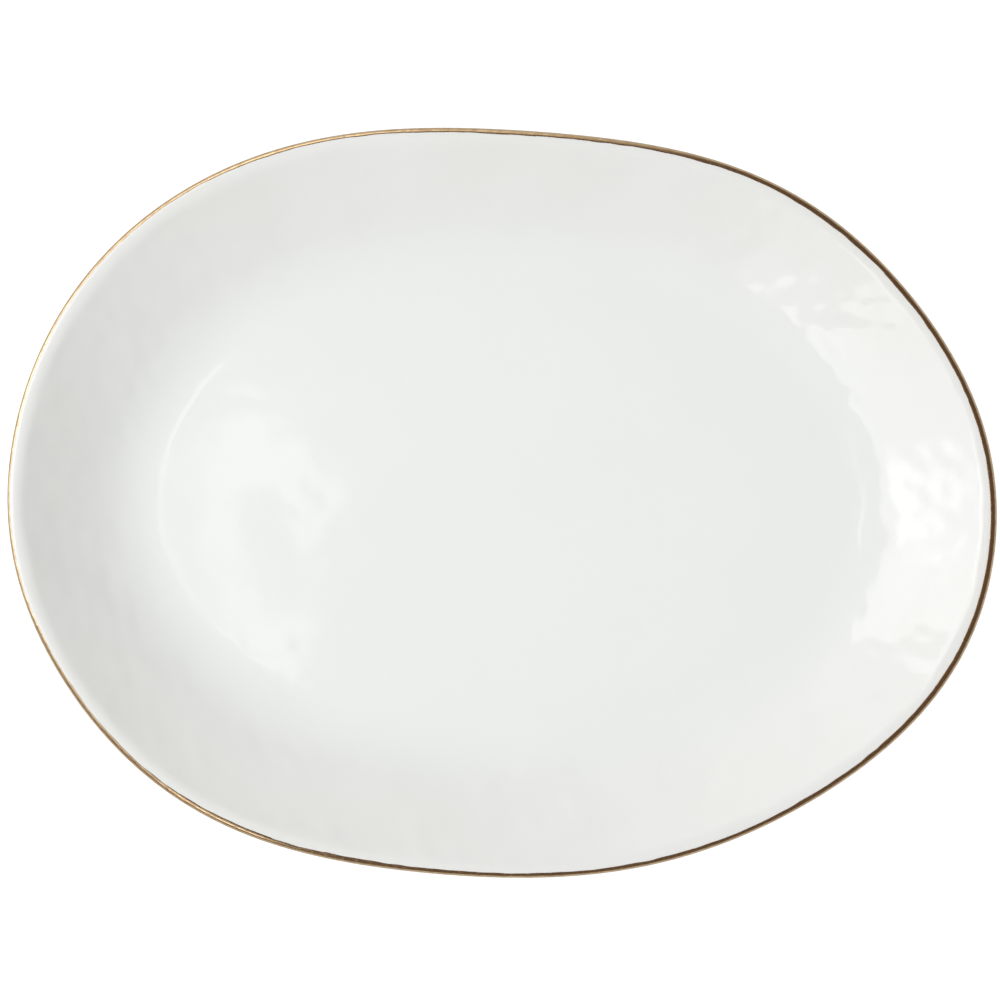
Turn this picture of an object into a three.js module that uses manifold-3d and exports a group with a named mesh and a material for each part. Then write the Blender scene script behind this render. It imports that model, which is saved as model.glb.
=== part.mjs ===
// China serving platter: a free-form oval coupe in white porcelain, glazed all over but for the
// ground face of its foot, with a thin gold line round the lip. Millimetres, +Z up. The origin is
// the middle of the platter on the surface that it stands on, and +X runs along its length.
//
// Every piece is a ring or a dish turned from one section. A section is drawn in the plane of the
// platter's long half: x is the distance from the axis there and y is the height. The turned shape
// is then pushed out to the free-form outline.

import * as THREE from "three";
import { mergeVertices, toCreasedNormals } from "three/addons/utils/BufferGeometryUtils.js";
import Module from "manifold-3d";

// Overall size, over the gilded lip.
const LENGTH = 406;
const WIDTH = 308;
const HEIGHT = 32;

// The layers, from the inside out, and the gap left between two neighbours.
const BODY_THICKNESS = 4.6;
const GLAZE_THICKNESS = 0.35;
const GOLD_THICKNESS = 0.12;
const LAYER_GAP = 0.05;

// Plan widths in from the lip's edge: to the flat well, to the foot of the wall, and to the place
// where the lip starts to roll out level. The wall steepens a little on its way up, from a share
// of its slope at the lip.
const WELL_INSET = 62;
const WALL_INSET = 34;
const ROLL_INSET = 6;
const WALL_FOOT_SLOPE_SHARE = 0.8;

// The foot ring: its middle line in from the lip's edge, its height under the glazed well, its
// ground face and the bevels beside it, its width where it joins the body, and how high the bare
// clay shows.
const FOOT_INSET = 66;
const FOOT_HEIGHT = 4;
const FOOT_FACE_WIDTH = 3.4;
const FOOT_EDGE_BEVEL = 0.7;
const FOOT_ROOT_WIDTH = 9;
const FOOT_BARE_HEIGHT = 1.3;

// The gold goes round the lip's half circle between these angles, in degrees above level.
const GOLD_TOP_ANGLE = 78;
const GOLD_UNDER_ANGLE = -40;

// The lip's outline is an oval with low swellings in and out. Each entry has its number of
// swellings in one turn, its height, and the direction of one crest in degrees from +X. The
// edge of the well keeps only a share of them.
const LIP_SWELLINGS = [
  { count: 1, height: 3.0, crest: 214 },
  { count: 2, height: 3.0, crest: -71 },
  { count: 3, height: 1.3, crest: -1 },
  { count: 4, height: 2.2, crest: -43 },
  { count: 5, height: 0.7, crest: -14 },
  { count: 6, height: 0.8, crest: -4 },
  { count: 7, height: 0.3, crest: 22 },
  { count: 8, height: 0.4, crest: 14 },
];
const WELL_SWELLING_SHARE = 0.4;

// The lip also rises and falls a little along its length, in the same form.
const LIP_WAVES = [
  { count: 2, height: 0.5, crest: 8 },
  { count: 3, height: 0.3, crest: 70 },
];

// Fineness of the faceted solids.
const TURN_STEPS = 60;
const WELL_STEPS = 1;
const BEND_STEPS = 4;
const WALL_STEPS = 2;
const ROLL_STEPS = 2;
const LIP_STEPS = 6;
const MERGE_DISTANCE = 1e-4;
const CREASE_ANGLE = THREE.MathUtils.degToRad(30);

const HALF_LENGTH = LENGTH / 2;
const WELL_HALF_LENGTH = HALF_LENGTH - WELL_INSET;
const FOOT_MIDDLE = HALF_LENGTH - FOOT_INSET;

// How far each layer's skin stands from the middle line of the body's wall.
const BODY_SKIN = BODY_THICKNESS / 2;
const BODY_CLEARANCE = BODY_SKIN + LAYER_GAP;
const GLAZE_SKIN = BODY_CLEARANCE + GLAZE_THICKNESS;
const GLAZE_CLEARANCE = GLAZE_SKIN + LAYER_GAP;
const GOLD_SKIN = GLAZE_CLEARANCE + GOLD_THICKNESS;
const FOOT_SKIN = LAYER_GAP + GLAZE_THICKNESS;

// The middle line's height in the well and at the lip. The highest point of the lip is bare glaze
// or gold, whichever stands higher.
const GOLD_TOP = GOLD_SKIN * Math.sin(THREE.MathUtils.degToRad(Math.min(GOLD_TOP_ANGLE, 90)));
const FLOOR_LEVEL = FOOT_HEIGHT + GLAZE_SKIN;
const LIP_LEVEL = HEIGHT - Math.max(GLAZE_SKIN, GOLD_TOP);

const wasm = await Module();
wasm.setup();

/** The sum of a list of swellings or waves in one direction, in millimetres. */
function swellAt(waves, direction) {
  const heightOf = ({ count, height, crest }) =>
    height * Math.cos(count * (direction - THREE.MathUtils.degToRad(crest)));
  return waves.reduce((sum, wave) => sum + heightOf(wave), 0);
}

/** An outline's points, one for each step of a turn, fitted to a length and width. */
function outlinePoints(directions, length, width, swellingShare) {
  const drawn = directions.map((direction) => {
    const swell = swellingShare * swellAt(LIP_SWELLINGS, direction);
    return new THREE.Vector2(
      (length / 2 + swell) * Math.cos(direction),
      (width / 2 + swell) * Math.sin(direction),
    );
  });
  const box = new THREE.Box2().setFromPoints(drawn);
  const middle = box.getCenter(new THREE.Vector2());
  const fit = new THREE.Vector2(length, width).divide(box.getSize(new THREE.Vector2()));
  return drawn.map((point) => point.sub(middle).multiply(fit));
}

/** How far the lip dips below its highest point, one value for each step of a turn. */
function lipDips(directions) {
  const waves = directions.map((direction) => swellAt(LIP_WAVES, direction));
  const highest = Math.max(...waves);
  return waves.map((wave) => highest - wave);
}

const DIRECTIONS = Array.from({ length: TURN_STEPS }, (_, step) => (2 * Math.PI * step) / TURN_STEPS);
const LIP_OUTLINE = outlinePoints(DIRECTIONS, LENGTH, WIDTH, 1);
const WELL_OUTLINE = outlinePoints(
  DIRECTIONS,
  LENGTH - 2 * WELL_INSET,
  WIDTH - 2 * WELL_INSET,
  WELL_SWELLING_SHARE,
);
const LIP_DIPS = lipDips(DIRECTIONS);

/**
 * Carries a point of a section to one step of the turn. The wall runs straight from the lip's
 * outline to the well's outline, and the well inside it shrinks towards the middle.
 */
function placeOnPlatter(point, step) {
  const inset = HALF_LENGTH - point.x;
  const wellEdge = WELL_OUTLINE[step];
  const plan =
    inset < WELL_INSET
      ? LIP_OUTLINE[step].clone().lerp(wellEdge, inset / WELL_INSET)
      : wellEdge.clone().multiplyScalar(point.x / WELL_HALF_LENGTH);
  const dip = LIP_DIPS[step] * (1 - THREE.MathUtils.smoothstep(inset, 0, WALL_INSET));
  return new THREE.Vector3(plan.x, plan.y, point.y - dip);
}

/**
 * Turns a section into a solid. The section runs anticlockwise, from the axis back to the axis
 * or closed on itself.
 */
function turn(section) {
  const lathe = new THREE.LatheGeometry(section, TURN_STEPS);
  const position = lathe.getAttribute("position");
  for (let step = 0; step <= TURN_STEPS; step++) {
    section.forEach((point, row) => {
      const placed = placeOnPlatter(point, step % TURN_STEPS);
      position.setXYZ(step * section.length + row, placed.x, placed.y, placed.z);
    });
  }
  lathe.deleteAttribute("normal");
  lathe.deleteAttribute("uv");
  const merged = mergeVertices(lathe, MERGE_DISTANCE);
  return new wasm.Manifold(
    new wasm.Mesh({
      numProp: 3,
      vertProperties: merged.getAttribute("position").array,
      triVerts: new Uint32Array(merged.index.array),
    }),
  );
}

/**
 * The middle line of the body's wall, from the axis to the centre of the lip's half circle. Each
 * of its three curves is a parabola over the middle of its own width, so they meet smoothly.
 */
function wallMiddleLine() {
  const bendWidth = WELL_INSET - WALL_INSET;
  const wallWidth = WALL_INSET - ROLL_INSET;
  const rollWidth = ROLL_INSET - GOLD_SKIN;
  const footSlopeWidth = WALL_FOOT_SLOPE_SHARE * (bendWidth + wallWidth);
  const lipSlope = (2 * (LIP_LEVEL - FLOOR_LEVEL)) / (footSlopeWidth + wallWidth + rollWidth);
  const footSlope = WALL_FOOT_SLOPE_SHARE * lipSlope;

  const wallFoot = HALF_LENGTH - WALL_INSET;
  const wallFootLevel = FLOOR_LEVEL + (footSlope * bendWidth) / 2;
  const wallMiddleLevel = wallFootLevel + (footSlope * wallWidth) / 2;
  const wallTop = HALF_LENGTH - ROLL_INSET;
  const wallTopLevel = wallMiddleLevel + (lipSlope * wallWidth) / 2;
  const lip = HALF_LENGTH - GOLD_SKIN;

  const line = new THREE.Path();
  line.moveTo(0, FLOOR_LEVEL);
  line.lineTo(WELL_HALF_LENGTH, FLOOR_LEVEL);
  line.quadraticCurveTo(wallFoot - bendWidth / 2, FLOOR_LEVEL, wallFoot, wallFootLevel);
  line.quadraticCurveTo(wallTop - wallWidth / 2, wallMiddleLevel, wallTop, wallTopLevel);
  line.quadraticCurveTo(lip - rollWidth / 2, LIP_LEVEL, lip, LIP_LEVEL);
  return line;
}

/** Stations along the middle line: each has its point and the upward normal there. */
function wallStations() {
  const curves = wallMiddleLine().curves;
  const steps = [WELL_STEPS, BEND_STEPS, WALL_STEPS, ROLL_STEPS];
  const stationAt = (curve, share) => {
    const tangent = curve.getTangent(share);
    return {
      point: curve.getPoint(share),
      normal: new THREE.Vector2(-tangent.y, tangent.x),
    };
  };
  const stations = curves.flatMap((curve, index) =>
    Array.from({ length: steps[index] }, (_, step) => stationAt(curve, step / steps[index])),
  );
  stations.push(stationAt(curves.at(-1), 1));
  return stations;
}

const STATIONS = wallStations();
const LIP_CENTRE = STATIONS.at(-1).point;

/** The top or underside of the wall, at a distance from its middle line. */
function wallSide(distance) {
  return STATIONS.map(({ point, normal }) => point.clone().addScaledVector(normal, distance));
}

/** Part of a circle round the lip's centre, from one angle above level to another. */
function lipArc(radius, fromAngle, toAngle) {
  const arc = new THREE.Path();
  const from = THREE.MathUtils.degToRad(fromAngle);
  const to = THREE.MathUtils.degToRad(toAngle);
  arc.absarc(LIP_CENTRE.x, LIP_CENTRE.y, radius, from, to, false);
  return arc.getPoints(LIP_STEPS / 2);
}

/** The whole wall, well and lip, with its skin at a distance from the middle line. */
function wallSection(skin) {
  const underside = wallSide(-skin).slice(0, -1);
  const top = wallSide(skin).slice(0, -1).reverse();
  return [...underside, ...lipArc(skin, -90, 90), ...top];
}

/** Half the foot's width at a height: the bevel first, then a flare up to the body. */
function footHalfWidth(height) {
  const face = FOOT_FACE_WIDTH / 2;
  if (height < FOOT_EDGE_BEVEL) return face + height;
  const flared = Math.min(1, (height - FOOT_EDGE_BEVEL) / (FOOT_HEIGHT - FOOT_EDGE_BEVEL));
  return THREE.MathUtils.lerp(face + FOOT_EDGE_BEVEL, FOOT_ROOT_WIDTH / 2, flared);
}

/** Points up a flank of the foot; side is 1 outside and -1 inside, and skin lies over the clay. */
function footFlank(heights, side, skin) {
  return heights.map(
    (height) => new THREE.Vector2(FOOT_MIDDLE + side * (footHalfWidth(height) + skin), height),
  );
}

/** The foot ring, from the table up to the middle of the wall above it. */
function footSection(skin) {
  const heights = [0, FOOT_EDGE_BEVEL, FOOT_HEIGHT, FLOOR_LEVEL];
  const outside = footFlank(heights, 1, skin);
  const inside = footFlank(heights, -1, skin).reverse();
  return [...outside, ...inside, outside[0].clone()];
}

/** The body and foot together, grown by the gap that the glaze keeps from them. */
function bareClay() {
  return turn(wallSection(BODY_CLEARANCE)).add(turn(footSection(LAYER_GAP)));
}

/** The pressed and fired porcelain: well, wall and lip. */
function biscuitBody() {
  return turn(wallSection(BODY_SKIN));
}

/** The ring luted under the well, with the bevelled face that is ground bare. */
function footRing() {
  return turn(footSection(0)).subtract(turn(wallSection(BODY_CLEARANCE)));
}

/** The glaze over the face, round the lip, and down the back to the outside of the foot. */
function glazeCoat() {
  const flank = footFlank([FOOT_BARE_HEIGHT, FOOT_HEIGHT], 1, FOOT_SKIN);
  const clearOfFoot = (point) => point.x > flank[1].x;
  const underside = wallSide(-GLAZE_SKIN).slice(0, -1).filter(clearOfFoot);
  const top = wallSide(GLAZE_SKIN).slice(0, -1).reverse();
  const section = [
    new THREE.Vector2(0, FLOOR_LEVEL),
    new THREE.Vector2(FOOT_MIDDLE, FLOOR_LEVEL),
    new THREE.Vector2(FOOT_MIDDLE, FOOT_BARE_HEIGHT),
    ...flank,
    ...underside,
    ...lipArc(GLAZE_SKIN, -90, 90),
    ...top,
  ];
  return turn(section).subtract(bareClay());
}

/** The glaze inside the foot ring, under the well. */
function recessGlaze() {
  const section = [
    new THREE.Vector2(0, FOOT_HEIGHT),
    ...footFlank([FOOT_BARE_HEIGHT, FOOT_HEIGHT], -1, FOOT_SKIN).reverse(),
    new THREE.Vector2(FOOT_MIDDLE, FOOT_BARE_HEIGHT),
    new THREE.Vector2(FOOT_MIDDLE, FLOOR_LEVEL),
    new THREE.Vector2(0, FLOOR_LEVEL),
  ];
  return turn(section).subtract(bareClay());
}

/** The fired gold line, a thin band over the glaze round the lip. */
function goldRimBand() {
  const arc = lipArc(GOLD_SKIN, GOLD_UNDER_ANGLE, GOLD_TOP_ANGLE);
  const section = [...arc, LIP_CENTRE.clone(), arc[0].clone()];
  return turn(section).subtract(turn(wallSection(GLAZE_CLEARANCE)));
}

function bareClayMaterial() {
  return new THREE.MeshStandardMaterial({ color: 0xe9e6de, roughness: 0.75, metalness: 0 });
}

function whiteGlazeMaterial() {
  return new THREE.MeshStandardMaterial({ color: 0xf3f4f1, roughness: 0.12, metalness: 0 });
}

function goldMaterial() {
  return new THREE.MeshStandardMaterial({ color: 0xc89b55, roughness: 0.22, metalness: 1 });
}

/** Makes a named mesh of a solid. */
function meshOf(name, solid, material) {
  const { vertProperties, triVerts } = solid.getMesh();
  const geometry = new THREE.BufferGeometry();
  geometry.setAttribute("position", new THREE.BufferAttribute(vertProperties, 3));
  geometry.setIndex(new THREE.BufferAttribute(triVerts, 1));
  const mesh = new THREE.Mesh(toCreasedNormals(geometry, CREASE_ANGLE), material);
  mesh.name = name;
  return mesh;
}

const platter = new THREE.Group();
platter.name = "china_serving_platter";
platter.add(
  meshOf("biscuit_body", biscuitBody(), bareClayMaterial()),
  meshOf("foot_ring", footRing(), bareClayMaterial()),
  meshOf("glaze_coat", glazeCoat(), whiteGlazeMaterial()),
  meshOf("recess_glaze", recessGlaze(), whiteGlazeMaterial()),
  meshOf("gold_rim_band", goldRimBand(), goldMaterial()),
);

export default platter;
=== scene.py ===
"""China serving platter: the fine surfaces, glaze and gold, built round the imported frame.

Metres, +Z up, in the frame of the CAD model. Every piece is a ring or a dish turned from one
section. A section is drawn in the plane of the platter's long half: x is the distance from the
axis there and y is the height. The turned shape is then pushed out to the free-form outline.
"""

import math

import bmesh
import bpy
import numpy as np
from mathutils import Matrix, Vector


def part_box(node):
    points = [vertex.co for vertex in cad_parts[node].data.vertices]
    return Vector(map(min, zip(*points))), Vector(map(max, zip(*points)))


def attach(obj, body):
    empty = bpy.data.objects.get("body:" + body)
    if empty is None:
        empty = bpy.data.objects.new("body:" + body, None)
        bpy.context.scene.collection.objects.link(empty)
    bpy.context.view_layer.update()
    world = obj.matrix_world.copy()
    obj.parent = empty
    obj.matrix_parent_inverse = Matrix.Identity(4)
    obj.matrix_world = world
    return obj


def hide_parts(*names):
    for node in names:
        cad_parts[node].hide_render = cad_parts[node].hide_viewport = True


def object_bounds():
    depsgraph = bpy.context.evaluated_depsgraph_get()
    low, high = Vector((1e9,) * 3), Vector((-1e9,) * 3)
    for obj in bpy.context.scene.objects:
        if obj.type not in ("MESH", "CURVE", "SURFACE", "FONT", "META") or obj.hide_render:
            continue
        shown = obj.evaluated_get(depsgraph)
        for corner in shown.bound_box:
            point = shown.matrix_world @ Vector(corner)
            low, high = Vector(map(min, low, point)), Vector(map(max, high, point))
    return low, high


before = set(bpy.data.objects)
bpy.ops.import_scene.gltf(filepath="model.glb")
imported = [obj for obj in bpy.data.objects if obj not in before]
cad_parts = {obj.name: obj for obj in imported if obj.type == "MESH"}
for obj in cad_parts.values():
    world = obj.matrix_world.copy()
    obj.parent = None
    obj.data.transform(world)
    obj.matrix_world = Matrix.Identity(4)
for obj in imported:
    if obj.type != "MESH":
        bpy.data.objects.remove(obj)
CAD_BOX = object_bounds()

MM = 0.001

# Sizes that the frame gives.
PLATTER_LOW, PLATTER_HIGH = CAD_BOX
LENGTH, WIDTH, _ = PLATTER_HIGH - PLATTER_LOW
BODY_LOW, BODY_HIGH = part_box("biscuit_body")
COAT_LOW, COAT_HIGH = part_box("glaze_coat")
FOOT_LOW, FOOT_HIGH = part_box("foot_ring")

# Driving dimensions of the design that no box shows.
LAYER_GAP = 0.05 * MM
BODY_THICKNESS = 4.6 * MM
WELL_INSET = 62 * MM
WALL_INSET = 34 * MM
ROLL_INSET = 6 * MM
WALL_FOOT_SLOPE_SHARE = 0.8
FOOT_FACE_WIDTH = 3.4 * MM
FOOT_EDGE_BEVEL = 0.7 * MM
FOOT_ROOT_WIDTH = 9 * MM
FOOT_SOFTNESS = 0.3 * MM

# The outline's swellings and the lip's waves: count in one turn, height, direction of a crest.
LIP_SWELLINGS = [
    (1, 3.0 * MM, 214),
    (2, 3.0 * MM, -71),
    (3, 1.3 * MM, -1),
    (4, 2.2 * MM, -43),
    (5, 0.7 * MM, -14),
    (6, 0.8 * MM, -4),
    (7, 0.3 * MM, 22),
    (8, 0.4 * MM, 14),
]
WELL_SWELLING_SHARE = 0.4
LIP_WAVES = [(2, 0.5 * MM, 8), (3, 0.3 * MM, 70)]

# Ripples of the glaze, long and short: how many waves, their lengths and the steepest slope of
# each. The flat well is far calmer than the wall, the back a little, and the lip has none.
RIPPLES = [
    (26, (13 * MM, 60 * MM), math.radians(0.36)),
    (34, (7 * MM, 14 * MM), math.radians(0.42)),
]
RIPPLE_SEED = 11
WELL_RIPPLE_SHARE = 0.12
BACK_RIPPLE_SHARE = 0.8
GLAZE_FILLET = 2.2 * MM
FOOT_CALM_REACH = 4 * GLAZE_FILLET
POOL_AND_SHADE_FROM_INSET = 12 * MM

# The gold's two edges, in degrees above level round the lip's half circle. A brush laid it in
# strokes: the upper edge steps up or down where a stroke starts, and both edges waver.
GOLD_TOP_ANGLE = 75
GOLD_TOP_SWELLINGS = [(1, 16.0, -11), (2, 6.0, 57), (3, 4.5, -11), (4, 2.5, -41)]
GOLD_UNDER_ANGLE = -38
GOLD_WAVER_COUNTS = range(9, 160, 6)
GOLD_TOP_WAVER = 3.6
GOLD_UNDER_WAVER = 9
STROKE_COUNT = 17
STROKE_STEP = 6
STROKE_FADE = math.radians(7)
GOLD_FEATHER = 0.35 * MM
GOLD_THINNEST = 0.08
GOLD_SEED = 5

# Fineness of the surfaces. Hidden sides and the back take a share of the face's steps.
TURN_STEPS = 480
GOLD_TURN_STEPS = 1440
GOLD_ROWS = 25
WELL_STEPS = 60
BEND_STEPS = 24
WALL_STEPS = 18
ROLL_STEPS = 14
LIP_STEPS = 24
CORNER_STEPS = 6
SEAT_STEPS = 12
GLAZE_END_STEPS = 8
CLAY_FLANK_STEPS = 3
RECESS_STEPS = 30
COARSE = 0.4
BACK_FINENESS = 0.6

# Camera: distance above the lip, width of the view as a share of the platter's length, and its
# offset from the platter's middle.
CAMERA_DISTANCE = 1.6
FRAME_OVER_LENGTH = 1 / 0.9896
CAMERA_OFFSET = (-0.9 * MM, 1.15 * MM)

# Lights: a window that the +X side of the wall mirrors, with a brighter core, two smaller ones
# that the gold mirrors on the -X -Y side, a glow that isn't mirrored, and a ring near the camera
# that the -X side of the well mirrors.
LIGHTS = [
    dict(name="window", azimuth=187, off_vertical=41.5, distance=2.6, size=(2.83, 1.68),
         radiance=1.55, soft=0.035),
    dict(name="window_core", azimuth=181, off_vertical=38.5, distance=2.45, size=(1.15, 0.8),
         radiance=2.4, soft=0.75),
    dict(name="second_window", azimuth=234, off_vertical=44, distance=2.5, size=(0.9, 1.2),
         radiance=0.5, soft=0.4),
    dict(name="low_window", azimuth=240, off_vertical=63, distance=2.6, size=(0.85, 0.75),
         radiance=1.8, soft=0.15),
    dict(name="window_glow", azimuth=145, off_vertical=46, distance=2.6, size=(2.1, 2.0),
         radiance=0.88, soft=0.3, glossy=False),
    dict(name="camera_side_ring", azimuth=192, off_vertical=6.6, distance=1.75,
         size=(0.26, 0.115), radiance=1.7, soft=0.08, hollow=0.5),
]
RING_GAP_DIRECTION = (0.7, 0.7, 0)
RING_GAP_RANGE = (0.35, 0.7)

# The room's light, as radiance over that of paper white: a ceiling brightest overhead, both long
# sides, and what the reflections show instead.
CEILING_RADIANCE = 0.805
SIDE_RADIANCE = 1.25
SIDE_NARROWNESS = 4
DARK_ROOM = (0.12, 0.085, 0.07)
BRIGHT_WALL = (1.9, 1.85, 1.75)
BRIGHT_WALL_AZIMUTH = 140
BRIGHT_WALL_RANGE = (0.3, 0.95)
BACKDROP = (0.72, 0.72, 0.715)

# Floor: its glow near the platter and far from it, and what share of it the gold mirrors.
FLOOR_RADIUS = 30
FLOOR_CORNERS = 64
FLOOR_COLOUR = (0.36, 0.36, 0.36)
FLOOR_ROUGHNESS = 0.9
FLOOR_GLOW = (0.76, 0.52)
FLOOR_GLOW_RANGE = (0.3, 0.75)
FLOOR_MIRRORED_SHARE = 0.3

# Glaze: two shades of it thin on the wall, warmer there as thin glaze and darker there as painted
# shade, and two where it pools; stray iron specks, pinholes, and a fine grain and peel of the
# surface. Specks are (spacing, size, rarity).
# The thin shades are the pooled ones made about 4 percent darker: painted shade on the wall.
THIN_GLAZE_WITH_PAINTED_SHADE = ((0.795, 0.800, 0.770), (0.806, 0.806, 0.790))
POOLED_GLAZE = ((0.834, 0.852, 0.826), (0.843, 0.859, 0.837))
GLAZE_IOR = 1.5
GLAZE_ROUGHNESS = (0.045, 0.07)
GLAZE_CLOUD_SIZE = 55 * MM
IRON_COLOUR = (0.32, 0.27, 0.22)
IRON_SPECKS = (17 * MM, 0.32 * MM, 0.72)
IRON_STRENGTH = 0.35
PINHOLES = (9 * MM, 0.22 * MM, 0.8)
PINHOLE_STRETCH = (1, 1.03, 1)
PINHOLE_DEPTH = 0.02 * MM
GLAZE_GRAIN = (5.5 * MM, 0.012 * MM)
GLAZE_PEEL = (1.6 * MM, 0.0022 * MM)

# Fired gold: where it is thick and where it is thin, and how a brush draws it out.
THICK_GOLD = (0.80, 0.61, 0.37)
THIN_GOLD = (0.62, 0.42, 0.24)
GOLD_ROUGHNESS = (0.16, 0.30)
GOLD_STREAK_STRETCH = 9
GOLD_STREAK_SIZE = 0.28 * MM
GOLD_STREAK_DEPTH = 0.006 * MM
GOLD_PATCH_SIZE = 2.3 * MM
GOLD_DRY_RANGE = (0.85, 1.2)
GOLD_EDGE_FILM = 0.9
GOLD_EDGE_THINNESS = 0.55

# Bare clay: two shades, dark grains as (spacing, size, rarity), grit and grinding marks.
BARE_CLAY = ((0.70, 0.66, 0.585), (0.785, 0.755, 0.69))
CLAY_ROUGHNESS = (0.62, 0.82)
CLAY_BLOTCH_SIZE = 9 * MM
GRAIN_COLOUR = (0.30, 0.25, 0.2)
CLAY_GRAINS = (2.4 * MM, 0.14 * MM, 0.8)
GRAIN_STRENGTH = 0.6
CLAY_GRIT = (0.22 * MM, 0.03 * MM)
GRINDING_MARKS = (0.5 * MM, 0.012 * MM)
GRINDING_STRETCH = (0.25, 2.5, 1)

# A noise's middle range, and the share of a speck's size that is full strength.
NOISE_RANGE = (0.3, 0.7)
SPECK_CORE_SHARE = 0.4

# What follows from the sizes above.
HALF_LENGTH = LENGTH / 2
WELL_HALF_LENGTH = HALF_LENGTH - WELL_INSET
COAT_PROUD = (COAT_HIGH.x - COAT_LOW.x - (BODY_HIGH.x - BODY_LOW.x)) / 2
GOLD_PROUD = (LENGTH - (COAT_HIGH.x - COAT_LOW.x)) / 2
BODY_SKIN = BODY_THICKNESS / 2
BODY_CLEARANCE = BODY_SKIN + LAYER_GAP
GLAZE_SKIN = BODY_SKIN + COAT_PROUD
GLAZE_CLEARANCE = GLAZE_SKIN + LAYER_GAP
GOLD_SKIN = GLAZE_SKIN + GOLD_PROUD
GLAZE_THICKNESS = GLAZE_SKIN - BODY_CLEARANCE
FLOOR_LEVEL = BODY_LOW.z + BODY_SKIN
LIP_LEVEL = BODY_HIGH.z - BODY_SKIN
FOOT_HEIGHT = FLOOR_LEVEL - GLAZE_SKIN
FOOT_MIDDLE = (FOOT_HIGH.x - FOOT_LOW.x - FOOT_ROOT_WIDTH) / 2
BARE_HEIGHT = COAT_LOW.z


# ---------------------------------------------------------------- outline


def turn_directions(steps):
    """The directions of a full turn's steps, in radians."""
    return np.arange(steps) * 2 * math.pi / steps


def swell_at(waves, directions):
    """The sum of a list of swellings, in each direction."""
    total = np.zeros_like(directions)
    for count, height, crest in waves:
        total += height * np.cos(count * (directions - math.radians(crest)))
    return total


def outline(directions, length, width, swelling_share):
    """An outline's points, fitted to a length and width."""
    swell = swelling_share * swell_at(LIP_SWELLINGS, directions)
    drawn = np.stack(
        [(length / 2 + swell) * np.cos(directions), (width / 2 + swell) * np.sin(directions)],
        axis=-1,
    )
    low, high = drawn.min(axis=0), drawn.max(axis=0)
    return (drawn - (low + high) / 2) * (np.array([length, width]) / (high - low))


def smooth(share):
    """Eases a share from 0 to 1."""
    share = np.clip(share, 0, 1)
    return share * share * (3 - 2 * share)


def place_on_platter(section):
    """Carries a section, rows by steps by 2, to its points on the platter, rows by steps by 3."""
    directions = turn_directions(section.shape[1])
    lip = outline(directions, LENGTH, WIDTH, 1)
    well = outline(directions, LENGTH - 2 * WELL_INSET, WIDTH - 2 * WELL_INSET, WELL_SWELLING_SHARE)
    waves = swell_at(LIP_WAVES, directions)
    inset = HALF_LENGTH - section[..., 0]
    towards_well = np.clip(inset / WELL_INSET, 0, 1)[..., None]
    towards_axis = np.minimum(section[..., 0] / WELL_HALF_LENGTH, 1)[..., None]
    plan = (lip + (well - lip) * towards_well) * towards_axis
    dip = (waves.max() - waves) * (1 - smooth(inset / WALL_INSET))
    return np.concatenate([plan, (section[..., 1] - dip)[..., None]], axis=-1)


# ---------------------------------------------------------------- sections


def quadratic(start, control, end, steps):
    """Points and tangents of a quadratic curve, without its end."""
    start, control, end = (np.array(p, float) for p in (start, control, end))
    share = (np.arange(steps) / steps)[:, None]
    points = (1 - share) ** 2 * start + 2 * share * (1 - share) * control + share**2 * end
    tangents = (1 - share) * (control - start) + share * (end - control)
    return points, tangents


def wall_stations(fineness):
    """Points along the middle line of the wall, axis to lip centre, with their upward normals."""
    bend = WELL_INSET - WALL_INSET
    wall = WALL_INSET - ROLL_INSET
    roll = ROLL_INSET - GOLD_SKIN
    run = WALL_FOOT_SLOPE_SHARE * (bend + wall) + wall + roll
    lip_slope = 2 * (LIP_LEVEL - FLOOR_LEVEL) / run
    foot_slope = WALL_FOOT_SLOPE_SHARE * lip_slope
    wall_foot = (HALF_LENGTH - WALL_INSET, FLOOR_LEVEL + foot_slope * bend / 2)
    wall_middle = (wall_foot[0] + wall / 2, wall_foot[1] + foot_slope * wall / 2)
    wall_top = (HALF_LENGTH - ROLL_INSET, wall_middle[1] + lip_slope * wall / 2)
    lip = (HALF_LENGTH - GOLD_SKIN, LIP_LEVEL)
    well_edge = (WELL_HALF_LENGTH, FLOOR_LEVEL)
    curves = [
        ((0, FLOOR_LEVEL), (WELL_HALF_LENGTH / 2, FLOOR_LEVEL), well_edge, WELL_STEPS),
        (well_edge, (wall_foot[0] - bend / 2, FLOOR_LEVEL), wall_foot, BEND_STEPS),
        (wall_foot, wall_middle, wall_top, WALL_STEPS),
        (wall_top, (lip[0] - roll / 2, LIP_LEVEL), lip, ROLL_STEPS),
    ]
    points, tangents = [], []
    for start, control, end, steps in curves:
        p, t = quadratic(start, control, end, max(2, round(steps * fineness)))
        points.append(p)
        tangents.append(t)
    points = np.concatenate(points)
    tangents = np.concatenate(tangents)
    normals = np.stack([-tangents[:, 1], tangents[:, 0]], axis=-1)
    return points, normals / np.linalg.norm(normals, axis=1, keepdims=True)


def wall_side(distance, fineness=1.0):
    """The top or underside of the wall, from the axis out, at a distance from the middle line."""
    points, normals = wall_stations(fineness)
    return points + normals * distance


def lip_points(radii, angles):
    """Points round the lip's centre, at radii and at angles above level in radians."""
    centre = np.array([HALF_LENGTH - GOLD_SKIN, LIP_LEVEL])
    return centre + np.stack([radii * np.cos(angles), radii * np.sin(angles)], axis=-1)


def lip_arc(radius, from_angle, to_angle, steps):
    """Part of a circle round the lip's centre, between two angles in degrees."""
    return lip_points(radius, np.radians(np.linspace(from_angle, to_angle, steps + 1)))


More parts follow.
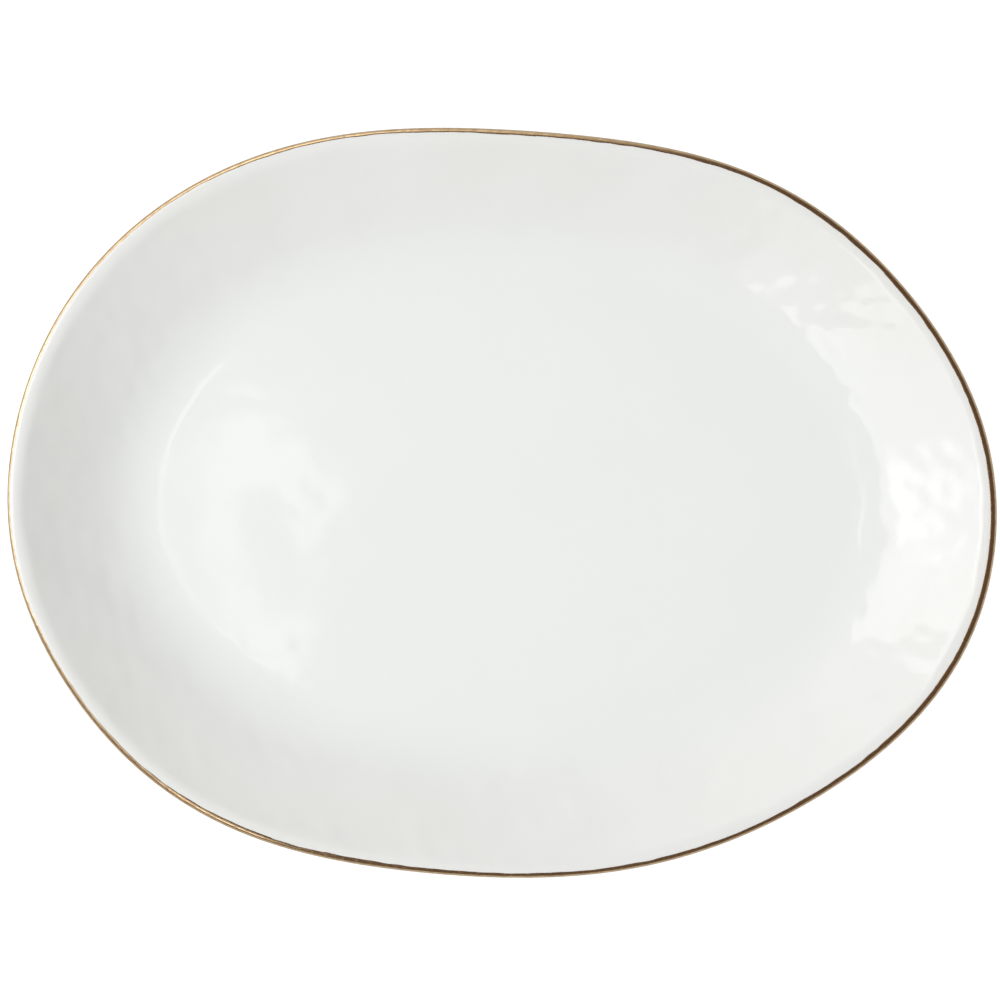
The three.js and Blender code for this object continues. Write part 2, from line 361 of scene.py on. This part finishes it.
def foot_half_width(height):
    """Half the foot's width at a height: the bevel first, then a flare up to the body."""
    face = FOOT_FACE_WIDTH / 2
    flared = np.clip((height - FOOT_EDGE_BEVEL) / (FOOT_HEIGHT - FOOT_EDGE_BEVEL), 0, 1)
    above = face + FOOT_EDGE_BEVEL + flared * (FOOT_ROOT_WIDTH / 2 - face - FOOT_EDGE_BEVEL)
    return np.where(height < FOOT_EDGE_BEVEL, face + height, above)


def foot_flank(heights, side, skin):
    """Points on a flank of the foot; side is 1 outside and -1 inside."""
    heights = np.asarray(heights, float)
    return np.stack([FOOT_MIDDLE + side * (foot_half_width(heights) + skin), heights], axis=-1)


def rounded(points, reach):
    """A line of points with each inner corner replaced by a curve that starts a reach before it."""
    points = np.asarray(points, float)
    made = [points[:1]]
    for before, corner, after in zip(points, points[1:], points[2:]):
        back, on = before - corner, after - corner
        start = corner + back * min(reach / np.linalg.norm(back), 0.5)
        end = corner + on * min(reach / np.linalg.norm(on), 0.5)
        made.append(quadratic(start, corner, end, CORNER_STEPS)[0])
        made.append(end[None])
    made.append(points[-1:])
    return np.concatenate(made)


def underside_level(x, distance):
    """The height of the wall's underside, offset by a distance, over places along x."""
    side = wall_side(-distance)
    return np.interp(x, side[:, 0], side[:, 1])


def full_turn(section, steps=TURN_STEPS):
    """The same section at every step of the turn."""
    return np.repeat(np.asarray(section)[:, None, :], steps, axis=1)


# ---------------------------------------------------------------- meshes


def ripple_at(points):
    """The glaze's low ripple over each point: smooth waves in seeded directions."""
    chance = np.random.default_rng(RIPPLE_SEED)
    total = np.zeros(points.shape[:-1])
    for count, lengths, slope in RIPPLES:
        for _ in range(count):
            direction = chance.uniform(0, 2 * math.pi)
            length = math.exp(chance.uniform(*np.log(lengths)))
            phase = chance.uniform(0, 2 * math.pi)
            along = points[..., 0] * math.cos(direction) + points[..., 1] * math.sin(direction)
            height = slope * length / (2 * math.pi)
            total += height * np.sin(2 * math.pi * along / length + phase)
    return total


def rippled(section, share):
    """A section's points on the platter, raised by each row's share of the ripple."""
    points = place_on_platter(section)
    points[..., 2] += share[:, None] * ripple_at(points)
    return points


def mesh_object(name, vertices, faces, attributes):
    """A smooth closed mesh object with float attributes on its vertices."""
    mesh = bpy.data.meshes.new(name)
    mesh.from_pydata(vertices.tolist(), [], faces)
    for attribute, values in attributes.items():
        layer = mesh.attributes.new(attribute, "FLOAT", "POINT")
        layer.data.foreach_set("value", np.asarray(values, np.float32))
    shell = bmesh.new()
    shell.from_mesh(mesh)
    bmesh.ops.recalc_face_normals(shell, faces=shell.faces)
    shell.to_mesh(mesh)
    shell.free()
    mesh.shade_smooth()
    piece = bpy.data.objects.new(name, mesh)
    bpy.context.scene.collection.objects.link(piece)
    return piece


def ring_faces(rows, steps, closed):
    """Quads between neighbouring rows, and from the last row to the first where it closes."""
    faces = []
    for row in range(rows if closed else rows - 1):
        near, far = row * steps, (row + 1) % rows * steps
        for step in range(steps):
            after = (step + 1) % steps
            faces.append((near + step, near + after, far + after, far + step))
    return faces


def ring_object(name, points, attributes=None):
    """A solid ring: its rows of points close on themselves."""
    rows, steps = points.shape[:2]
    values = {key: value.reshape(-1) for key, value in (attributes or {}).items()}
    return mesh_object(name, points.reshape(-1, 3), ring_faces(rows, steps, True), values)


def dish_object(name, points, attributes=None):
    """A solid dish: its rows of points run from the axis back to the axis."""
    rings = points[1:-1]
    rows, steps = rings.shape[:2]
    vertices = np.concatenate([rings.reshape(-1, 3), points[0, :1], points[-1, :1]])
    faces = ring_faces(rows, steps, False)
    first, last = rows * steps, rows * steps + 1
    for step in range(steps):
        after = (step + 1) % steps
        faces.append((first, after, step))
        faces.append((last, (rows - 1) * steps + step, (rows - 1) * steps + after))
    values = {
        key: np.concatenate([value[1:-1].reshape(-1), value[0, :1], value[-1, :1]])
        for key, value in (attributes or {}).items()
    }
    return mesh_object(name, vertices, faces, values)


# ---------------------------------------------------------------- pieces


def wall_section(skin, fineness):
    """The whole wall, well and lip, from the axis below to the axis above."""
    under = wall_side(-skin, fineness)
    top = wall_side(skin, fineness)[::-1]
    arc = lip_arc(skin, -90, 90, round(LIP_STEPS * fineness))
    return np.concatenate([under, arc, top])


def biscuit_body():
    """The pressed porcelain under the glaze."""
    section = full_turn(wall_section(BODY_SKIN, COARSE))
    return dish_object("porcelain_body", place_on_platter(section))


def foot_ring():
    """The ring luted under the well: ground face, softened bevels, flared flanks."""
    half_root = FOOT_ROOT_WIDTH / 2
    top_x = np.linspace(FOOT_MIDDLE + half_root, FOOT_MIDDLE - half_root, SEAT_STEPS)
    top = np.stack([top_x, underside_level(top_x, BODY_CLEARANCE)], axis=-1)
    heights = [0, FOOT_EDGE_BEVEL, FOOT_HEIGHT]
    outside = np.concatenate([[(FOOT_MIDDLE, 0)], foot_flank(heights, 1, 0), top[:1]])
    inside = np.concatenate([[(FOOT_MIDDLE, 0)], foot_flank(heights, -1, 0), top[-1:]])
    soft_outside = rounded(outside, FOOT_SOFTNESS)
    soft_inside = rounded(inside, FOOT_SOFTNESS)
    section = np.concatenate([soft_outside, top[1:-1], soft_inside[:0:-1]])
    return ring_object("ground_foot_ring", place_on_platter(full_turn(section)))


def glaze_end(side):
    """The glaze's round edge where it stops on the foot's flank, from its face to the clay."""
    centre_height = BARE_HEIGHT + GLAZE_THICKNESS / 2
    across = LAYER_GAP + GLAZE_THICKNESS / 2
    angles = np.linspace(0, math.pi, GLAZE_END_STEPS + 1)
    heights = centre_height - GLAZE_THICKNESS / 2 * np.sin(angles)
    middle = FOOT_MIDDLE + side * (foot_half_width(heights) + across)
    return np.stack([middle + side * GLAZE_THICKNESS / 2 * np.cos(angles), heights], axis=-1)


def bare_flank(end, side):
    """The glaze's inner side along the foot's flank, from the glaze's round end up to the body."""
    heights = np.linspace(end[-1, 1], FOOT_HEIGHT, CLAY_FLANK_STEPS + 1)[1:]
    return foot_flank(heights, side, LAYER_GAP)


def glaze_coat():
    """The glaze over the face, round the lip, and down the back to the outside of the foot."""
    face = wall_side(GLAZE_SKIN)
    lip = lip_arc(GLAZE_SKIN, 90, -90, LIP_STEPS)
    root = FOOT_MIDDLE + FOOT_ROOT_WIDTH / 2 + LAYER_GAP + GLAZE_THICKNESS
    back = wall_side(-GLAZE_SKIN, BACK_FINENESS)[::-1]
    back = back[back[:, 0] > root + GLAZE_FILLET]
    corner = np.array([root, underside_level(root, GLAZE_SKIN)])
    end = glaze_end(1)
    turn_in = rounded([back[-1], corner, end[0]], GLAZE_FILLET)[1:-1]
    clay_flank = bare_flank(end, 1)
    clay_root = clay_flank[-1, 0]
    inner_back = wall_side(-BODY_CLEARANCE, COARSE)
    inner_back = inner_back[inner_back[:, 0] > clay_root]
    seat = np.array([[clay_root, underside_level(clay_root, BODY_CLEARANCE)]])
    inner_lip = lip_arc(BODY_CLEARANCE, -90, 90, LIP_STEPS // 2)
    inner_face = wall_side(BODY_CLEARANCE, COARSE)[::-1]
    parts = [face, lip, back, turn_in, end, clay_flank, seat, inner_back, inner_lip, inner_face]
    section = full_turn(np.concatenate(parts))
    rows = len(section)
    share = np.zeros(rows)
    share[: len(face)] = face_ripple_share(face)
    share[len(face) + len(lip) :][: len(back)] = back_ripple_share(back[:, 0], root)
    # 1 where the glaze pools in the well, 0 on the wall, where the colour is painted darker as
    # shade.
    pool_and_wall_shade = np.zeros(section.shape[:2])
    pool_and_wall_shade[: len(face)] = glaze_pool_and_wall_shade(face[:, 0])[:, None]
    return dish_object("glazed_face_and_back", rippled(section, share), {"pool_and_wall_shade": pool_and_wall_shade})


def face_ripple_share(face):
    """How much of the ripple each row of the face takes: calm in the well, none at the lip."""
    inset = HALF_LENGTH - face[:, 0]
    in_wall = 1 - smooth((inset - WALL_INSET) / (WELL_INSET - WALL_INSET))
    share = WELL_RIPPLE_SHARE + (1 - WELL_RIPPLE_SHARE) * in_wall
    return share * smooth((inset - GOLD_SKIN) / ROLL_INSET)


def back_ripple_share(x, root):
    """How much of the ripple the back takes: none at the lip, and none against the foot."""
    from_lip = smooth((HALF_LENGTH - x - GOLD_SKIN) / ROLL_INSET)
    return BACK_RIPPLE_SHARE * from_lip * smooth(abs(x - root) / FOOT_CALM_REACH)


def glaze_pool_and_wall_shade(x):
    """Where the glaze lies thick: it runs down the wall and gathers in the well. Where it is low,
    on the wall, the glaze colour is also painted darker as painted shade.
    """
    return smooth((HALF_LENGTH - x - POOL_AND_SHADE_FROM_INSET) / (WELL_INSET - POOL_AND_SHADE_FROM_INSET))


def recess_glaze():
    """The glaze inside the foot ring, under the well."""
    root = FOOT_MIDDLE - FOOT_ROOT_WIDTH / 2 - LAYER_GAP - GLAZE_THICKNESS
    field_x = np.linspace(0, root - GLAZE_FILLET, RECESS_STEPS)
    field = np.stack([field_x, underside_level(field_x, GLAZE_SKIN)], axis=-1)
    corner = np.array([root, underside_level(root, GLAZE_SKIN)])
    end = glaze_end(-1)
    turn_down = rounded([field[-1], corner, end[0]], GLAZE_FILLET)[1:-1]
    clay_flank = bare_flank(end, -1)
    back_x = np.linspace(clay_flank[-1, 0], 0, SEAT_STEPS)
    back = np.stack([back_x, underside_level(back_x, BODY_CLEARANCE)], axis=-1)
    section = full_turn(np.concatenate([field, turn_down, end, clay_flank, back]))
    share = np.zeros(len(section))
    share[: len(field)] = back_ripple_share(field_x, root)
    return dish_object("glazed_recess", rippled(section, share))


def gold_edge_angles(directions):
    """The gold's upper and lower edge in each direction, in degrees above level."""
    chance = np.random.default_rng(GOLD_SEED)
    top = GOLD_TOP_ANGLE + swell_at(GOLD_TOP_SWELLINGS, directions)
    under = np.full_like(directions, GOLD_UNDER_ANGLE)
    for count in GOLD_WAVER_COUNTS:
        share = 1 / math.sqrt(count)
        crests = chance.uniform(0, 360, 2)  # radians over many turns: any phase will do
        top += GOLD_TOP_WAVER * share * np.cos(count * (directions - crests[0]))
        under += GOLD_UNDER_WAVER * share * np.cos(count * (directions - crests[1]))
    for start in np.sort(chance.uniform(0, 2 * math.pi, STROKE_COUNT)):
        past = (directions - start) % (2 * math.pi)
        step = chance.uniform(-1, 1) * STROKE_STEP
        top += step * np.exp(-past / STROKE_FADE) * (past < math.pi)
    return np.minimum(top, 90), under


def gold_rim_band():
    """The gold line: a thin film round the lip, feathered at its brushed edges."""
    directions = turn_directions(GOLD_TURN_STEPS)
    top, under = gold_edge_angles(directions)
    share = smooth(np.linspace(0, 1, GOLD_ROWS))[:, None]
    angles = np.radians(under + (top - under) * share)
    from_edge = np.minimum(share, 1 - share) * np.radians(top - under) * GLAZE_CLEARANCE
    film = np.maximum(smooth(from_edge / GOLD_FEATHER), GOLD_THINNEST)
    radii = GLAZE_CLEARANCE + film * (GOLD_SKIN - GLAZE_CLEARANCE)
    section = np.concatenate([
        lip_points(radii, angles),
        lip_points(np.full_like(radii, GLAZE_CLEARANCE), angles)[::-1],
    ])
    across = angles * GOLD_SKIN
    attributes = {
        "across": np.concatenate([across, across[::-1]]),
        "film": np.concatenate([film, film[::-1]]),
    }
    return ring_object("brushed_gold_line", place_on_platter(section), attributes)


# ---------------------------------------------------------------- materials


class Nodes:
    """Short calls for building a node tree."""

    def __init__(self, tree):
        self.tree = tree

    def add(self, kind, inputs=None, **settings):
        """A node with its settings and its inputs: a socket is linked and a value is set."""
        node = self.tree.nodes.new(kind)
        for key, value in settings.items():
            setattr(node, key, value)
        for key, value in (inputs or {}).items():
            self.give(node.inputs[key], value)
        return node

    def give(self, socket, value):
        """Links a socket to another node's output, or sets its value."""
        if isinstance(value, bpy.types.NodeSocket):
            self.tree.links.new(value, socket)
        else:
            socket.default_value = value

    def set(self, node_name, **values):
        """Sets inputs of a node that the tree starts with, with underscores for spaces."""
        for key, value in values.items():
            self.give(self.tree.nodes[node_name].inputs[key.replace("_", " ")], value)

    def place(self):
        """Places on the object, in metres."""
        return self.add("ShaderNodeTexCoord").outputs["Object"]

    def attribute(self, name):
        """A float attribute of the mesh."""
        return self.add("ShaderNodeAttribute", attribute_name=name).outputs["Fac"]

    def stretched(self, vector, scale):
        """A vector multiplied by a scale on each axis."""
        return self.vector("MULTIPLY", vector, scale).outputs["Vector"]

    def vector(self, operation, first, second=(0, 0, 0)):
        """One step of vector arithmetic."""
        return self.add("ShaderNodeVectorMath", {0: first, 1: second}, operation=operation)

    def math(self, operation, first, second=0.0):
        """One step of arithmetic."""
        return self.add("ShaderNodeMath", {0: first, 1: second}, operation=operation).outputs[0]

    def noise(self, vector, size, detail=2.0):
        """Noise whose blotches are about a size across, in metres."""
        inputs = {"Vector": vector, "Scale": 1 / size, "Detail": detail}
        return self.add("ShaderNodeTexNoise", inputs).outputs["Fac"]

    def ramp(self, value, low, high, to_low=0.0, to_high=1.0):
        """Maps a value from one range to another, eased and held at the ends."""
        inputs = {"Value": value, 1: low, 2: high, 3: to_low, 4: to_high}
        node = self.add("ShaderNodeMapRange", inputs, interpolation_type="SMOOTHSTEP")
        return node.outputs["Result"]

    def mix(self, share, first, second):
        """A colour between two."""
        inputs = {"Factor": share, "A": first, "B": second}
        node = self.add("ShaderNodeMix", data_type="RGBA")
        for key, value in inputs.items():
            self.give(node.inputs[key], value)
        return node.outputs["Result"]

    def bump(self, height, distance, under=None):
        """A bump whose full height is a distance in metres, over the normal of another."""
        inputs = {"Height": height, "Distance": distance}
        if under is not None:
            inputs["Normal"] = under
        return self.add("ShaderNodeBump", inputs).outputs["Normal"]


def colour(red, green, blue):
    """An opaque linear colour."""
    return (red, green, blue, 1.0)


def new_material(name):
    """A material and its nodes."""
    material = bpy.data.materials.new(name)
    material.use_nodes = True
    return material, Nodes(material.node_tree)


def specks(nodes, place, spacing, size, rarity):
    """A mask of small round specks in some cells of a loose grid."""
    cells = nodes.add("ShaderNodeTexVoronoi", {"Vector": place, "Scale": 1 / spacing})
    chosen = nodes.math("GREATER_THAN", cells.outputs["Color"], rarity)
    edge = size / spacing
    near = nodes.ramp(cells.outputs["Distance"], edge, SPECK_CORE_SHARE * edge)
    return nodes.math("MULTIPLY", chosen, near)


def glaze_material():
    """Clear gloss over cool white porcelain, greener where it pools and painted darker on the wall
    as painted shade, with stray iron specks.
    """
    material, nodes = new_material("white_glaze")
    place = nodes.place()
    clouds = nodes.ramp(nodes.noise(place, GLAZE_CLOUD_SIZE, 3.0), *NOISE_RANGE)
    # The thin glaze on the wall is warmer and painted darker: the darkness is painted shade.
    thin = nodes.mix(clouds, *(colour(*shade) for shade in THIN_GLAZE_WITH_PAINTED_SHADE))
    pooled = nodes.mix(clouds, *(colour(*shade) for shade in POOLED_GLAZE))
    white = nodes.mix(nodes.attribute("pool_and_wall_shade"), thin, pooled)
    iron = nodes.math("MULTIPLY", specks(nodes, place, *IRON_SPECKS), IRON_STRENGTH)
    white = nodes.mix(iron, white, colour(*IRON_COLOUR))
    pits = specks(nodes, nodes.stretched(place, PINHOLE_STRETCH), *PINHOLES)
    grain = nodes.bump(nodes.noise(place, GLAZE_GRAIN[0], 2.0), GLAZE_GRAIN[1])
    peel = nodes.bump(nodes.noise(place, GLAZE_PEEL[0], 1.0), GLAZE_PEEL[1], grain)
    pinholes = nodes.bump(nodes.math("MULTIPLY", pits, -1.0), PINHOLE_DEPTH, peel)
    nodes.set(
        "Principled BSDF",
        Base_Color=white,
        Roughness=nodes.ramp(clouds, 0, 1, *GLAZE_ROUGHNESS),
        IOR=GLAZE_IOR,
        Normal=pinholes,
    )
    return material


def gold_material():
    """Fired gold: brushed along the rim, thin and brownish where the brush ran dry."""
    material, nodes = new_material("fired_gold")
    place = nodes.place()
    along = nodes.stretched(place, (1 / GOLD_STREAK_STRETCH, 1 / GOLD_STREAK_STRETCH, 0))
    lanes = nodes.add("ShaderNodeCombineXYZ", {"Z": nodes.attribute("across")})
    brushed = nodes.vector("ADD", along, lanes.outputs["Vector"]).outputs["Vector"]
    streaks = nodes.noise(brushed, GOLD_STREAK_SIZE, 2.0)
    patches = nodes.noise(place, GOLD_PATCH_SIZE, 3.0)
    thin = nodes.ramp(nodes.math("ADD", streaks, patches), *GOLD_DRY_RANGE)
    film = nodes.attribute("film")
    thin_edge = nodes.ramp(film, 0.0, GOLD_EDGE_FILM, GOLD_EDGE_THINNESS, 0.0)
    thin = nodes.math("MAXIMUM", thin, thin_edge)
    nodes.set(
        "Principled BSDF",
        Base_Color=nodes.mix(thin, colour(*THICK_GOLD), colour(*THIN_GOLD)),
        Metallic=1.0,
        Roughness=nodes.ramp(thin, 0, 1, *GOLD_ROUGHNESS),
        Normal=nodes.bump(streaks, GOLD_STREAK_DEPTH),
    )
    return material


def bare_clay_material():
    """Unglazed porcelain: matt and sugary, with grinding marks and a few dark grains."""
    material, nodes = new_material("bare_porcelain")
    place = nodes.place()
    blotches = nodes.ramp(nodes.noise(place, CLAY_BLOTCH_SIZE, 4.0), *NOISE_RANGE)
    clay = nodes.mix(blotches, *(colour(*shade) for shade in BARE_CLAY))
    grains = nodes.math("MULTIPLY", specks(nodes, place, *CLAY_GRAINS), GRAIN_STRENGTH)
    clay = nodes.mix(grains, clay, colour(*GRAIN_COLOUR))
    grit = nodes.noise(place, CLAY_GRIT[0], 3.0)
    marks = nodes.noise(nodes.stretched(place, GRINDING_STRETCH), GRINDING_MARKS[0], 2.0)
    nodes.set(
        "Principled BSDF",
        Base_Color=clay,
        Roughness=nodes.ramp(grit, *NOISE_RANGE, *CLAY_ROUGHNESS),
        Normal=nodes.bump(marks, GRINDING_MARKS[1], nodes.bump(grit, CLAY_GRIT[1])),
    )
    return material


# ---------------------------------------------------------------- studio


def light_pattern(nodes, soft, hollow):
    """The brightness over a light's face: it fades towards its edges, and a hollow one is a ring
    that is open on one side."""
    over = nodes.add("ShaderNodeNewGeometry").outputs["Parametric"]
    centred = nodes.vector("ADD", nodes.stretched(over, (2, 2, 0)), (-1, -1, 0)).outputs["Vector"]
    if hollow:
        from_middle = nodes.vector("LENGTH", centred).outputs["Value"]
        ring = nodes.math(
            "MULTIPLY",
            nodes.ramp(from_middle, 1 - soft, 1, 1, 0),
            nodes.ramp(from_middle, hollow - soft, hollow + soft),
        )
        towards_gap = nodes.vector("DOT_PRODUCT", centred, RING_GAP_DIRECTION).outputs["Value"]
        return nodes.math("MULTIPLY", ring, nodes.ramp(towards_gap, *RING_GAP_RANGE, 1, 0))
    parts = nodes.add("ShaderNodeSeparateXYZ", {0: centred})
    fades = []
    for axis in "XY":
        out = nodes.math("ABSOLUTE", parts.outputs[axis])
        fades.append(nodes.ramp(out, 1 - soft, 1, 1, 0))
    return nodes.math("MULTIPLY", *fades)


def softbox(name, azimuth, off_vertical, distance, size, radiance, soft, glossy=True, hollow=0):
    """A rectangular light aimed at the platter, with its size across and up the sky; azimuth is
    counted from +X towards +Y."""
    light = bpy.data.lights.new(name, "AREA")
    light.shape = "RECTANGLE"
    light.size, light.size_y = size
    light.energy = radiance * math.pi * size[0] * size[1]
    light.use_nodes = True
    nodes = Nodes(light.node_tree)
    nodes.set("Emission", Strength=light_pattern(nodes, soft, hollow))
    lamp = bpy.data.objects.new(name, light)
    around, off = math.radians(azimuth), math.radians(off_vertical)
    level = math.sin(off)
    towards = (math.cos(around) * level, math.sin(around) * level, math.cos(off))
    lamp.location = distance * Vector(towards)
    lamp.rotation_euler = (-lamp.location).to_track_quat("-Z", "Y").to_euler()
    lamp.visible_camera = False
    lamp.visible_glossy = glossy
    bpy.context.scene.collection.objects.link(lamp)


def make_world():
    """The room: pale behind the object, soft light from the ceiling and from both long sides,
    and in the reflections a dark room with one bright wall."""
    world = bpy.data.worlds.new("studio")
    world.use_nodes = True
    bpy.context.scene.world = world
    nodes = Nodes(world.node_tree)
    path = nodes.add("ShaderNodeLightPath").outputs
    direction = nodes.add("ShaderNodeTexCoord").outputs["Generated"]
    parts = nodes.add("ShaderNodeSeparateXYZ", {0: direction}).outputs
    ceiling = nodes.math("MULTIPLY", nodes.math("MAXIMUM", parts["Z"], 0.0), CEILING_RADIANCE)
    beside = nodes.math("POWER", nodes.math("ABSOLUTE", parts["Y"]), SIDE_NARROWNESS)
    sides = nodes.math("MULTIPLY", beside, SIDE_RADIANCE)
    fill = nodes.math("ADD", ceiling, sides)
    around = math.radians(BRIGHT_WALL_AZIMUTH)
    wall_direction = (math.cos(around), math.sin(around), 0)
    towards_wall = nodes.vector("DOT_PRODUCT", direction, wall_direction).outputs["Value"]
    wall = nodes.ramp(towards_wall, *BRIGHT_WALL_RANGE)
    room = nodes.mix(wall, colour(*DARK_ROOM), colour(*BRIGHT_WALL))
    even = nodes.add("ShaderNodeCombineColor", {"Red": fill, "Green": fill, "Blue": fill})
    lit = nodes.mix(path["Is Glossy Ray"], even.outputs["Color"], room)
    nodes.set("Background", Color=nodes.mix(path["Is Camera Ray"], lit, colour(*BACKDROP)))


def make_floor():
    """A large pale sweep that glows a little, so that it stays white round the platter."""
    mesh = bpy.data.meshes.new("studio_floor")
    corners = turn_directions(FLOOR_CORNERS)
    ring = FLOOR_RADIUS * np.stack([np.cos(corners), np.sin(corners), 0 * corners], axis=-1)
    mesh.from_pydata(ring.tolist(), [], [tuple(range(FLOOR_CORNERS))])
    floor = bpy.data.objects.new("studio_floor", mesh)
    bpy.context.scene.collection.objects.link(floor)
    material, nodes = new_material("studio_floor")
    distance = nodes.vector("LENGTH", nodes.place()).outputs["Value"]
    glow = nodes.ramp(distance, *FLOOR_GLOW_RANGE, *FLOOR_GLOW)
    mirrored = nodes.add("ShaderNodeLightPath").outputs["Is Glossy Ray"]
    dimming = nodes.ramp(mirrored, 0, 1, 1, FLOOR_MIRRORED_SHARE)
    nodes.set(
        "Principled BSDF",
        Base_Color=colour(*FLOOR_COLOUR),
        Roughness=FLOOR_ROUGHNESS,
        Specular_IOR_Level=0.0,
        Emission_Color=colour(1.0, 1.0, 1.0),
        Emission_Strength=nodes.math("MULTIPLY", glow, dimming),
    )
    mesh.materials.append(material)


def make_camera():
    """Looks straight down at the middle of the platter, with +Y up."""
    data = bpy.data.cameras.new("camera")
    camera = bpy.data.objects.new("camera", data)
    data.lens = data.sensor_width * CAMERA_DISTANCE / (LENGTH * FRAME_OVER_LENGTH)
    camera.location = (*CAMERA_OFFSET, LIP_LEVEL + CAMERA_DISTANCE)
    bpy.context.scene.collection.objects.link(camera)
    bpy.context.scene.camera = camera


# ---------------------------------------------------------------- the scene

PIECES = [
    (biscuit_body, "biscuit_body", "bare_porcelain"),
    (foot_ring, "foot_ring", "bare_porcelain"),
    (glaze_coat, "glaze_coat", "white_glaze"),
    (recess_glaze, "recess_glaze", "white_glaze"),
    (gold_rim_band, "gold_rim_band", "fired_gold"),
]

materials = {
    "bare_porcelain": bare_clay_material(),
    "white_glaze": glaze_material(),
    "fired_gold": gold_material(),
}

for make, node, slot in PIECES:
    piece = make()
    piece.data.materials.append(materials[slot])
    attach(piece, "root")
    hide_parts(node)

for light in LIGHTS:
    softbox(**light)
make_world()
make_floor()
make_camera()
bpy.context.scene.view_settings.view_transform = "Standard"
